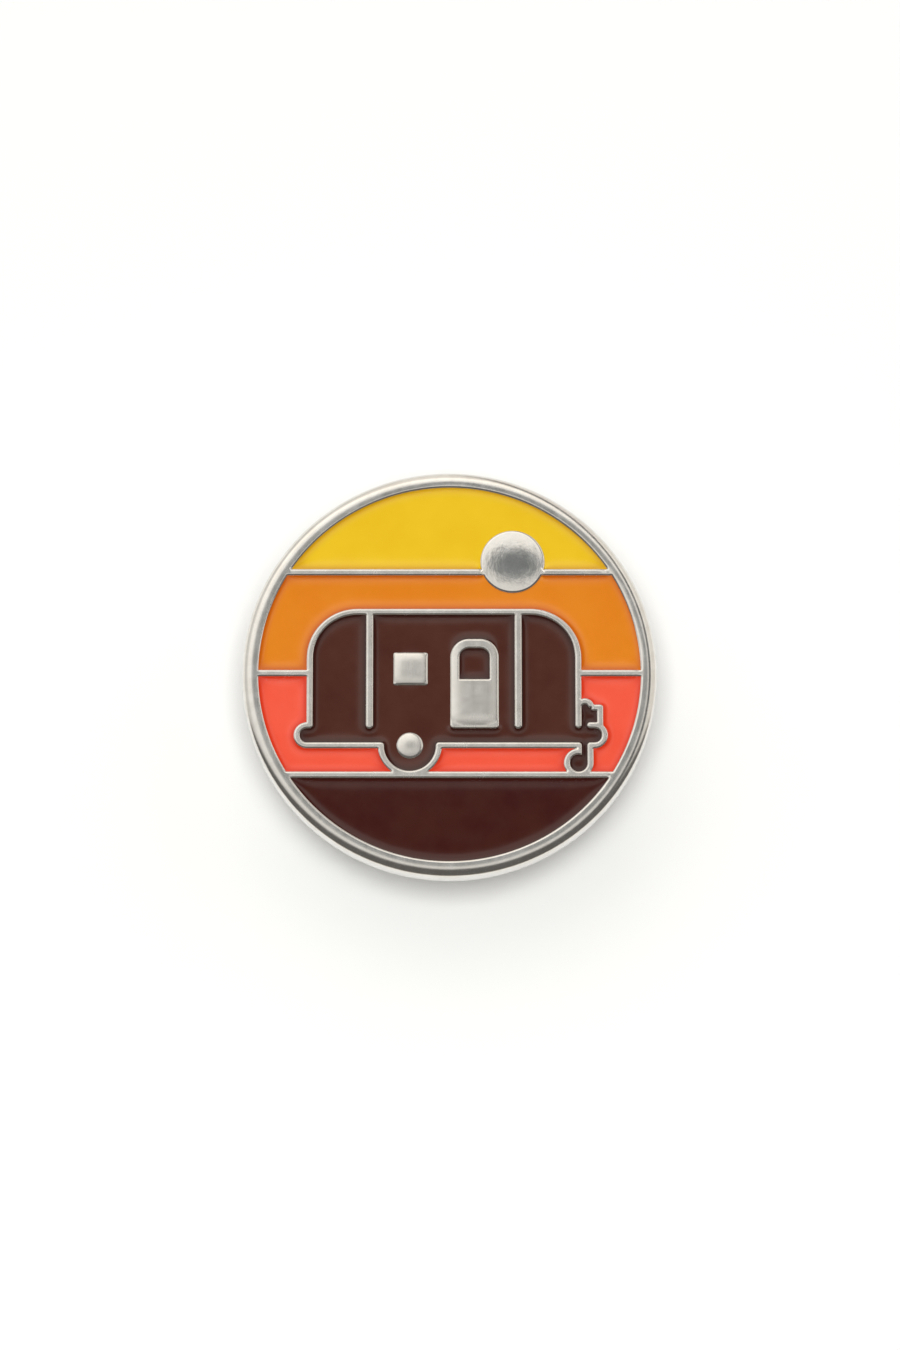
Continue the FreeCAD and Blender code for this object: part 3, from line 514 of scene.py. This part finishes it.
def nickel_finish():
    """Bright plating with the fine upright streaks of the polishing wheel and uneven spots."""
    material, shader, point = new_finish("nickel_plating")
    streaks = ripple(point, 3400, 4, 0.62, (1.0, 0.06, 1.0))
    patches = ripple(point, 900, 3, 0.55)
    uneven = ripple(point, 3000, 3, 0.55)
    grain = ripple(point, 9000, 2, 0.5)

    def far_from(x, y, low, high):
        """0 nearer to this place on the face than low, 1 past high, in metres."""
        away = point.node("ShaderNodeVectorMath", {"operation": "DISTANCE"},
                          {0: point, 1: (x, y, badge_high.z)}, 1)
        return away.between(low, high)

    brushed = far_from(sun_middle[0] * MM, sun_middle[1] * MM, 0.0024, 0.0026)
    on_border = far_from(0, 0, 0.0143, 0.0147)
    tone = patches.between(0.30, 0.72).mix((0.755, 0.73, 0.69, 1), (0.82, 0.80, 0.765, 1))
    feed(shader, "Base Color", tone)
    shader.inputs["Metallic"].default_value = 1.0
    feed(shader, "Roughness", 0.08 + 0.07 * patches + brushed * (0.09 + 0.10 * streaks) - on_border * 0.07)
    wheel_waves = ripple(point, 1300, 4, 0.6, (1.0, 0.5, 1.0)) * (1 - brushed)
    relief(shader, uneven * 0.50 + streaks * 0.42 + grain * 0.08 + wheel_waves * 4.5, 0.0000030)
    return material


finish_piece(build_badge(), nickel_finish(), "badge", "struck_body", 40)

# ---------------------------------------------------------------- enamel
# Each closed cell is filled by needle with soft enamel, a coloured resin that is then baked.
# It stays lower than the metal and creeps up the walls, and it is deeper in colour there: partly the thicker resin,
# partly painted shade along the walls.
ENAMEL_OFFSETS = (0.03, 0.07, 0.12, 0.18, 0.25, 0.34, 0.45, 0.6, 0.78, 1.0)
MENISCUS_RISE = 0.115
MENISCUS_LENGTH = 0.36
ENAMEL_LATTICE = 0.5
SKIN_BELOW_METAL = 0.015
SOLVER_STEPS = 250
SOLVER_ENOUGH = 1e-7


def solve_meniscus(points, triangles, fixed, wall):
    """The height of a liquid skin that wets its walls: given at the fixed points, fading inwards."""
    edges_a, edges_b, weights = [], [], []
    area = np.zeros(len(points))
    for turn in range(3):
        a, b, c = (triangles[:, (turn + step) % 3] for step in range(3))
        u, v = points[a] - points[c], points[b] - points[c]
        cross = np.abs(u[:, 0] * v[:, 1] - u[:, 1] * v[:, 0]) + 1e-12
        edges_a.append(a)
        edges_b.append(b)
        weights.append(0.5 * (u * v).sum(1) / cross)
        np.add.at(area, c, cross / 6)
    a, b, weight = np.concatenate(edges_a), np.concatenate(edges_b), np.concatenate(weights)
    weight = np.maximum(weight, 1e-3)
    total = area / MENISCUS_LENGTH**2 + 1e-12
    np.add.at(total, a, weight)
    np.add.at(total, b, weight)

    def stiffness(height):
        out = total * height
        np.add.at(out, a, -weight * height[b])
        np.add.at(out, b, -weight * height[a])
        out[fixed] = height[fixed]
        return out

    height = wall.copy()
    rest = -stiffness(height)
    rest[fixed] = 0
    scale = np.where(fixed, 1.0, 1 / total)
    search = scale * rest
    power = rest @ search
    for _ in range(SOLVER_STEPS):
        pushed = stiffness(search)
        pushed[fixed] = 0
        step = power / (search @ pushed)
        height = height + step * search
        rest = rest - step * pushed
        if np.abs(rest).max() < SOLVER_ENOUGH:
            break
        fresh = scale * rest
        next_power = rest @ fresh
        search = fresh + next_power / power * search
        search[fixed] = 0
        power = next_power
    return height


def build_enamel(node):
    drawing = Drawing(outlines[node])
    low, high = drawing.points.min(0), drawing.points.max(0)
    spread = [np.array((x, y)) for x in np.arange(low[0], high[0], ENAMEL_LATTICE)
              for y in np.arange(low[1], high[1], ENAMEL_LATTICE)]
    inside = drawing.holds(spread)
    spread = [place for place, held in zip(spread, inside)
              if held and drawing.distance(place) > ENAMEL_OFFSETS[-1] + 0.15]
    points, triangles = fill_between(drawing, drawing.rings(ENAMEL_OFFSETS, 1) + spread)
    outline_count = len(drawing.points)
    held = np.ones(len(triangles), bool)
    only_outline = (triangles < outline_count).all(axis=1)
    held[only_outline] = drawing.holds(points[triangles[only_outline]].mean(axis=1))
    triangles = triangles[held]
    used = np.zeros(len(points), bool)
    used[triangles] = True
    fixed = ~used
    fixed[:outline_count] = True
    wall = np.zeros(len(points))
    for index, (x, y) in enumerate(drawing.points):
        edge = face_mm - EDGE_DROP - polish(x, y)
        wall[index] = min(1.0, (edge - SKIN_BELOW_METAL - levels[node]) / MENISCUS_RISE)
    wetting = solve_meniscus(points, triangles, fixed, wall)
    verts = [(x, y, levels[node] + MENISCUS_RISE * wet) for (x, y), wet in zip(points, wetting)]
    faces = [tuple(triangle) for triangle in triangles]
    under = len(verts)
    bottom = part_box(node)[0].z / MM
    verts += [(x, y, bottom) for x, y in points]
    faces += [tuple(triangle[::-1] + under) for triangle in triangles]
    faces += [(index, index + under, int(after) + under, int(after)) for index, after in enumerate(drawing.after)]
    piece = piece_from(f"{node}_fill", verts, faces)
    near_wall_shade = piece.data.attributes.new("near_wall_shade", "FLOAT", "POINT")
    near_wall_shade.data.foreach_set("value", np.concatenate([wetting, np.ones(len(points))]))
    select_only(piece)
    bpy.ops.object.mode_set(mode="EDIT")
    bpy.ops.mesh.select_all(action="SELECT")
    bpy.ops.mesh.delete_loose()
    bpy.ops.object.mode_set(mode="OBJECT")
    return piece


def enamel_finish(name, plain, deep, light):
    """Baked resin: even colour with faint clouds, darker by the walls (partly thicker resin, partly painted shade), a
    wet gloss and a slightly wavy skin.
    """
    material, shader, point = new_finish(name)
    near_wall_shade = point.node("ShaderNodeAttribute", {"attribute_name": "near_wall_shade"}, output=2)
    cloud = ripple(point, 350, 4, 0.55)
    body = cloud.between(0.25, 0.75).mix(plain, light)
    # painted shade: the colour darkens to the deep colour as the skin rises at the walls, partly for the thicker
    # resin and partly as painted shade
    feed(shader, "Base Color", near_wall_shade.between(0.12, 0.9).mix(body, deep))
    shader.inputs["IOR"].default_value = 1.47
    feed(shader, "Roughness", 0.10 + 0.08 * ripple(point, 900, 2, 0.5))
    relief(shader, ripple(point, 700, 2, 0.45), 0.0000050)
    return material


# the second colour of each is the darker one by the walls: partly thicker resin, partly painted shade
yellow = enamel_finish("yellow_enamel", (0.75, 0.475, 0.008, 1), (0.58, 0.30, 0.0, 1), (0.775, 0.505, 0.012, 1))
orange = enamel_finish("orange_enamel", (0.67, 0.193, 0.005, 1), (0.50, 0.095, 0.0, 1), (0.70, 0.213, 0.009, 1))
coral = enamel_finish("coral_enamel", (0.80, 0.083, 0.040, 1), (0.60, 0.030, 0.006, 1), (0.82, 0.096, 0.050, 1))
brown = enamel_finish("brown_enamel", (0.057, 0.0125, 0.0065, 1), (0.026, 0.003, 0.001, 1),
                      (0.070, 0.019, 0.011, 1))
earth = enamel_finish("ground_enamel", (0.036, 0.0010, 0.0, 1), (0.034, 0.002, 0.0, 1),
                      (0.047, 0.0070, 0.0025, 1))
FILLS = (("yellow_sky_enamel", yellow, "yellow_enamel"), ("orange_sky_enamel", orange, "orange_enamel"),
         ("left_coral_enamel", coral, "coral_enamel"), ("middle_coral_enamel", coral, "coral_enamel"),
         ("right_coral_enamel", coral, "coral_enamel"), ("trailer_enamel", brown, "brown_enamel"),
         ("door_window_enamel", brown, "brown_enamel"), ("ground_enamel", earth, "ground_enamel"))
for node, finish, slot in FILLS:
    finish_piece(build_enamel(node), finish, "badge", node, 50)

# ---------------------------------------------------------------- posts
# Each post is a length of drawn steel wire with a flat head, like a nail, plated.  Its tip is
# ground to a blunt point and a groove runs round it for the clutch's jaws to catch.
HEAD_RADIUS, HEAD_DEEP, HEAD_UNDER = 1.2, -0.3, -0.1
POST_RADIUS, SHOULDER, POINT_RADIUS, POINT_DROP = 0.55, 7.0, 0.12, 8.0
GROOVE_RADIUS, GROOVE_START, GROOVE_MIDDLE, GROOVE_END = 0.42, 5.6, 5.8, 6.0


def finish_pair(piece, name, finish, body, node, sharp=30):
    """Copies a piece modelled at the left post to the right one, and finishes both.  In the
    names of the piece, its body and its node, {} is left or right."""
    copy = piece.copy()
    copy.data = piece.data.copy()
    bpy.context.collection.objects.link(copy)
    copy.location.x += post_places[1] - post_places[0]
    for side, fitting in (("left", piece), ("right", copy)):
        fitting.name = fitting.data.name = name.format(side)
        finish_piece(fitting, finish, body.format(side), node.format(side), sharp)


def pick_edges(test):
    """Selects, in edit mode, the edges whose two ends pass the test."""
    bpy.context.view_layer.update()
    piece = bpy.context.edit_object
    bpy.ops.mesh.select_mode(type="EDGE")
    bpy.ops.mesh.select_all(action="DESELECT")
    shape = bmesh.from_edit_mesh(piece.data)
    for edge in shape.edges:
        edge.select = test(*(piece.matrix_world @ vertex.co for vertex in edge.verts))
    bmesh.update_edit_mesh(piece.data)


def turned(level, corners, hollow, sides=96):
    """A piece turned about the left post's line, hung from a level.  Each of its corners is a
    radius, a drop below the level and a rounding, in millimetres."""
    x = post_places[0]
    radius, drop, _ = corners[0]
    bpy.ops.object.select_all(action="DESELECT")
    bpy.ops.mesh.primitive_circle_add(vertices=sides, radius=radius, location=(x, 0, level - drop),
                                      fill_type="NOTHING" if hollow else "NGON")
    piece = bpy.context.object
    bpy.ops.object.mode_set(mode="EDIT")
    bpy.ops.mesh.select_all(action="SELECT")
    for next_radius, next_drop, _ in corners[1:] + (corners[:1] if hollow else []):
        bpy.ops.mesh.extrude_edges_move(TRANSFORM_OT_translate={"value": (0, 0, drop - next_drop)})
        size = next_radius / radius
        bpy.ops.transform.resize(value=(size, size, 1), center_override=(x, 0, level))
        radius, drop = next_radius, next_drop
    if not hollow:
        bpy.ops.mesh.edge_face_add()
    bpy.ops.mesh.select_all(action="SELECT")
    bpy.ops.mesh.remove_doubles(threshold=0.0005)
    for radius, drop, rounding in corners:
        if rounding:
            middle = Vector((x, 0, level - drop))
            pick_edges(lambda *ends: all(abs((end - middle).xy.length - radius) < 0.003
                                         and abs(end.z - middle.z) < 0.003 for end in ends))
            bpy.ops.mesh.bevel(offset=rounding, segments=4, affect="EDGES")
    bpy.ops.object.mode_set(mode="OBJECT")
    return piece


post_steel, post_shader, post_point = new_finish("post_metal")
drawn = ripple(post_point, 5200, 3, 0.6, (1, 1, 0.03))
handled = ripple(post_point, 700, 3, 0.55)
feed(post_shader, "Base Color", handled.between(0.3, 0.75).mix((0.66, 0.65, 0.63, 1), (0.78, 0.77, 0.745, 1)))
post_shader.inputs["Metallic"].default_value = 1.0
feed(post_shader, "Roughness", 0.16 + 0.16 * drawn)
relief(post_shader, drawn * 0.8 + handled * 0.2, 0.000006)
post = turned(back_mm, [
    (HEAD_RADIUS, HEAD_DEEP, 0.0), (HEAD_RADIUS, HEAD_UNDER, 0.05), (POST_RADIUS, HEAD_UNDER, 0.0),
    (POST_RADIUS, GROOVE_START, 0.05), (GROOVE_RADIUS, GROOVE_MIDDLE, 0.05), (POST_RADIUS, GROOVE_END, 0.05),
    (POST_RADIUS, SHOULDER, 0.2), (POINT_RADIUS, POINT_DROP, 0.06),
], False, 64)
finish_pair(post, "{}_post_wire", post_steel, "badge", "{}_post")

# ---------------------------------------------------------------- solder pools
# Soft silver solder melted round each post's head.  It fills the seat nearly to the back face and
# climbs a little way up the wire, and it sets dull and slightly uneven.
solder_metal, solder_shader, solder_point = new_finish("silver_solder")
blobs = ripple(solder_point, 1100, 3, 0.5)
frost = ripple(solder_point, 6500, 4, 0.6)
feed(solder_shader, "Base Color", blobs.between(0.3, 0.7).mix((0.47, 0.465, 0.45, 1), (0.63, 0.62, 0.60, 1)))
solder_shader.inputs["Metallic"].default_value = 1.0
feed(solder_shader, "Roughness", 0.32 + 0.22 * frost)
relief(solder_shader, blobs * 0.75 + frost * 0.25, 0.00003)
SOLDER_SKIN = [(1.9, -0.16), (1.55, -0.135), (1.2, -0.08), (0.95, 0.0), (0.75, 0.05), (0.62, 0.13), (0.55, 0.2)]
solder = turned(back_mm, [
    (HEAD_RADIUS, HEAD_DEEP, 0.0), (seat_radius, HEAD_DEEP, 0.0), *((*place, 0.0) for place in SOLDER_SKIN),
    (POST_RADIUS, HEAD_UNDER, 0.0), (HEAD_RADIUS, HEAD_UNDER, 0.0),
], True, 64)
finish_pair(solder, "{}_solder_pool", solder_metal, "badge", "{}_post_solder", 50)

# ---------------------------------------------------------------- clutch bases
# A cup pressed from thin plated sheet lies on the cloth.  A funnel leads the post in at its
# middle, and its edge is rolled in over the cap plate to hold it.
SHEET = 0.35
CUP_RADIUS, CUP_DEPTH, CUP_INSIDE = 5.7, 1.05, 5.35
LIP_RADIUS, LIP_ABOVE = 4.9, 0.7
FUNNEL_MOUTH, FUNNEL_INSIDE, FUNNEL_END, FUNNEL_OUTSIDE = 1.5, 0.75, 0.95, 1.1
FUNNEL_ROOT, FUNNEL_NARROW = 1.675, 0.6
clutch_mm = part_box("left_clutch_base")[1].z / MM
clutch_metal, clutch_shader, clutch_point = new_finish("clutch_metal")
rolled = ripple(clutch_point, 2600, 4, 0.6, (1.0, 0.05, 1.0))
smears = ripple(clutch_point, 420, 3, 0.55)
peel = ripple(clutch_point, 1900, 2, 0.5)
feed(clutch_shader, "Base Color", smears.between(0.3, 0.7).mix((0.69, 0.675, 0.65, 1), (0.79, 0.78, 0.755, 1)))
clutch_shader.inputs["Metallic"].default_value = 1.0
feed(clutch_shader, "Roughness", 0.14 + 0.10 * smears + 0.08 * rolled)
relief(clutch_shader, rolled * 0.5 + peel * 0.5, 0.000009)
cup = turned(clutch_mm, [
    (FUNNEL_MOUTH, 0.0, 0.25), (CUP_RADIUS, 0.0, 0.3), (CUP_RADIUS, CUP_DEPTH, 0.3),
    (LIP_RADIUS, CUP_DEPTH, 0.1), (LIP_RADIUS, LIP_ABOVE, 0.0), (CUP_INSIDE, LIP_ABOVE, 0.0),
    (CUP_INSIDE, SHEET, 0.0), (FUNNEL_ROOT, SHEET, 0.12), (FUNNEL_OUTSIDE, FUNNEL_END, 0.05),
    (FUNNEL_INSIDE, FUNNEL_END, 0.05), (FUNNEL_INSIDE, FUNNEL_NARROW, 0.06),
], True)
finish_pair(cup, "{}_clutch_cup", clutch_metal, "{}_clutch", "{}_clutch_base")

# ---------------------------------------------------------------- clutch caps
# The cap plate has a raised housing drawn up in its middle, open underneath.  The post's tip
# comes through the round hole, and the levers' uprights through the two slots.
PLATE_RADIUS = 5.3
HOUSING_WIDTH, HOUSING_LENGTH, HOUSING_TOP, HOUSING_CORNER = 4.3, 5.7, 2.75, 1.0
HOUSING_HOLE = 0.75
SLOT_WIDTH, SLOT_LENGTH, SLOT_MIDDLE = 0.59, 2.64, 1.675
CUT_FROM, CUT_TO = 2, 3


def carve(piece, operation, tool):
    """Cuts the tool from the piece, joins it, or keeps only what both share."""
    select_only(piece)
    change = piece.modifiers.new("carve", "BOOLEAN")
    change.operation = operation
    change.object = tool
    change.solver = "EXACT"
    bpy.ops.object.modifier_apply(modifier=change.name)
    bpy.data.objects.remove(tool)


def block(width, length, top, bottom, x, y, corner=0.0, crown=0.0):
    """A block between two levels with its upright edges rounded, and its lower rim by the crown."""
    bpy.ops.object.select_all(action="DESELECT")
    bpy.ops.mesh.primitive_cube_add(size=1, location=(x, y, (top + bottom) / 2))
    piece = bpy.context.object
    piece.scale = (width, length, top - bottom)
    bpy.ops.object.transform_apply(location=False, rotation=False, scale=True)
    bpy.ops.object.mode_set(mode="EDIT")
    if corner:
        pick_edges(lambda a, b: (a - b).xy.length < 0.001)
        bpy.ops.mesh.bevel(offset=corner, segments=10, affect="EDGES")
    if crown:
        pick_edges(lambda a, b: max(a.z, b.z) < bottom + 0.001)
        bpy.ops.mesh.bevel(offset=crown, segments=5, affect="EDGES")
    bpy.ops.object.mode_set(mode="OBJECT")
    return piece


def rod(radius, top, bottom, x, y, sides=64):
    bpy.ops.object.select_all(action="DESELECT")
    bpy.ops.mesh.primitive_cylinder_add(vertices=sides, radius=radius, depth=top - bottom,
                                        location=(x, y, (top + bottom) / 2))
    return bpy.context.object


def soften(piece, width, angle):
    """Takes the sharpness off the edges that turn by more than the angle."""
    select_only(piece)
    change = piece.modifiers.new("soften", "BEVEL")
    change.width = width
    change.segments = 2
    change.limit_method = "ANGLE"
    change.angle_limit = math.radians(angle)
    bpy.ops.object.modifier_apply(modifier=change.name)


x = post_places[0]
cap = rod(PLATE_RADIUS, clutch_mm - SHEET, clutch_mm - 2 * SHEET, x, 0, 128)
housing = block(HOUSING_WIDTH, HOUSING_LENGTH, clutch_mm - SHEET - 0.05, clutch_mm - HOUSING_TOP, x, 0,
                HOUSING_CORNER, 0.3)
carve(cap, "UNION", housing)
cavity = block(HOUSING_WIDTH - 2 * SHEET, HOUSING_LENGTH - 2 * SHEET, clutch_mm,
               clutch_mm - HOUSING_TOP + SHEET, x, 0, HOUSING_CORNER - SHEET, 0.12)
carve(cap, "DIFFERENCE", cavity)
carve(cap, "DIFFERENCE", rod(HOUSING_HOLE, clutch_mm - CUT_FROM, clutch_mm - CUT_TO, x, 0))
for y in (-SLOT_MIDDLE, SLOT_MIDDLE):
    carve(cap, "DIFFERENCE", block(SLOT_LENGTH, SLOT_WIDTH, clutch_mm - CUT_FROM, clutch_mm - CUT_TO, x, y))
soften(cap, 0.04, 60)
finish_pair(cap, "{}_clutch_cap_plate", clutch_metal, "{}_clutch", "{}_clutch_cap")

# ---------------------------------------------------------------- wing levers
# Each clutch has two levers bent from one strip of plated sheet: a notched jaw that grips the
# post, an upright through the housing's slot, and a broad wing turned flat for a fingertip.
BEND = 0.375
JAW_GAP, JAW_DROP, JAW_WIDTH = 0.12, 1.6, 2.4
UPRIGHT, ROOT_DROP, SHOULDER_DROP = 1.675, 3.05, 2.95
LIP_DROP, WING_SLOPE, WING_REACH, WING_WIDTH, WING_CORNER = 6.025, math.radians(52), 4.95, 4.6, 1.7
NOTCH = 0.58
KNEE = UPRIGHT + (LIP_DROP - ROOT_DROP) / math.tan(WING_SLOPE)


def make_wing(x, out):
    """One lever; out is 1 for the one towards the top of the badge and -1 for the other."""
    bpy.ops.object.select_all(action="DESELECT")
    bpy.ops.mesh.primitive_plane_add(size=1, location=(x, out * (JAW_GAP + UPRIGHT) / 2, clutch_mm - JAW_DROP))
    wing = bpy.context.object
    wing.scale = (WING_WIDTH + 0.4, UPRIGHT - JAW_GAP, 1)
    bpy.ops.object.transform_apply(location=False, rotation=False, scale=True)
    bpy.ops.object.mode_set(mode="EDIT")
    pick_edges(lambda a, b: min(out * a.y, out * b.y) > UPRIGHT - 0.001)
    for run, drop in ((0, ROOT_DROP - JAW_DROP), (KNEE - UPRIGHT, LIP_DROP - ROOT_DROP),
                      (WING_REACH - KNEE, 0)):
        bpy.ops.mesh.extrude_edges_move(TRANSFORM_OT_translate={"value": (0, out * run, -drop)})
    for y, drop, turn in ((UPRIGHT, JAW_DROP, math.pi / 2), (UPRIGHT, ROOT_DROP, math.pi / 2 - WING_SLOPE),
                          (KNEE, LIP_DROP, WING_SLOPE)):
        row = Vector((0, out * y, clutch_mm - drop))
        pick_edges(lambda a, b: max((a - row).yz.length, (b - row).yz.length) < 0.001)
        bpy.ops.mesh.bevel(offset=BEND * math.tan(turn / 2), segments=7, affect="EDGES")
    bpy.ops.object.mode_set(mode="OBJECT")
    thicken = wing.modifiers.new("thicken", "SOLIDIFY")
    thicken.thickness = SHEET
    thicken.offset = 0
    thicken.use_even_offset = True
    bpy.ops.object.modifier_apply(modifier=thicken.name)
    carve(wing, "INTERSECT", block(WING_WIDTH, 2 * WING_REACH, clutch_mm + 1, -1, x, 0, WING_CORNER))
    spare = (WING_WIDTH + 1 - JAW_WIDTH) / 2
    for way in (-1, 1):
        carve(wing, "DIFFERENCE", block(spare, 2 * WING_REACH, clutch_mm + 1, clutch_mm - SHOULDER_DROP,
                                        x + way * (JAW_WIDTH + spare) / 2, 0))
    carve(wing, "DIFFERENCE", rod(NOTCH, clutch_mm, clutch_mm - 3, x, 0))
    soften(wing, 0.06, 60)
    return wing


for row, out in (("lower", -1), ("upper", 1)):
    finish_pair(make_wing(post_places[0], out), "{}_" + row + "_finger_wing", clutch_metal,
                "{}_" + row + "_wing_lever", "{}_" + row + "_wing")

# ---------------------------------------------------------------- springs
# One length of hard steel wire is bent round both uprights inside each housing, and presses the
# jaws together.  Its two ends are left apart on the side towards the right.
WIRE_RADIUS = 0.15
SPRING_DROP, SPRING_HALF_LENGTH, SPRING_HALF_WIDTH = 2.25, 2.2, 1.55
SPRING_CORNER, SPRING_MOUTH, CORNER_STEPS = 0.45, 0.6, 8
spring_steel, spring_shader, spring_point = new_finish("spring_steel")
wire_lines = ripple(spring_point, 4200, 3, 0.6, (1, 1, 0.2))
heat = ripple(spring_point, 500, 3, 0.5)
feed(spring_shader, "Base Color", heat.between(0.3, 0.7).mix((0.40, 0.395, 0.38, 1), (0.50, 0.50, 0.495, 1)))
spring_shader.inputs["Metallic"].default_value = 1.0
feed(spring_shader, "Roughness", 0.22 + 0.18 * wire_lines)
relief(spring_shader, wire_lines, 0.000008)


def make_spring(x):
    path = [Vector((SPRING_HALF_WIDTH, -SPRING_MOUTH))]
    for way_x, way_y, start in ((1, -1, 0), (-1, -1, 270), (-1, 1, 180), (1, 1, 90)):
        middle = Vector((way_x * (SPRING_HALF_WIDTH - SPRING_CORNER),
                         way_y * (SPRING_HALF_LENGTH - SPRING_CORNER)))
        for step in range(CORNER_STEPS + 1):
            turn = math.radians(start - 90 * step / CORNER_STEPS)
            path.append(middle + SPRING_CORNER * Vector((math.cos(turn), math.sin(turn))))
    path.append(Vector((SPRING_HALF_WIDTH, SPRING_MOUTH)))
    line = bpy.data.curves.new("spring_line", "CURVE")
    line.dimensions = "3D"
    line.bevel_depth = WIRE_RADIUS
    line.bevel_resolution = 6
    line.use_fill_caps = True
    run = line.splines.new("POLY")
    run.points.add(len(path) - 1)
    for point, place in zip(run.points, path):
        point.co = (x + place.x, place.y, clutch_mm - SPRING_DROP, 1)
    wire = bpy.data.objects.new("spring_wire", line)
    bpy.context.collection.objects.link(wire)
    select_only(wire)
    bpy.ops.object.convert(target="MESH")
    return bpy.context.object


finish_pair(make_spring(post_places[0]), "{}_spring_wire", spring_steel, "{}_clutch", "{}_clutch_spring")
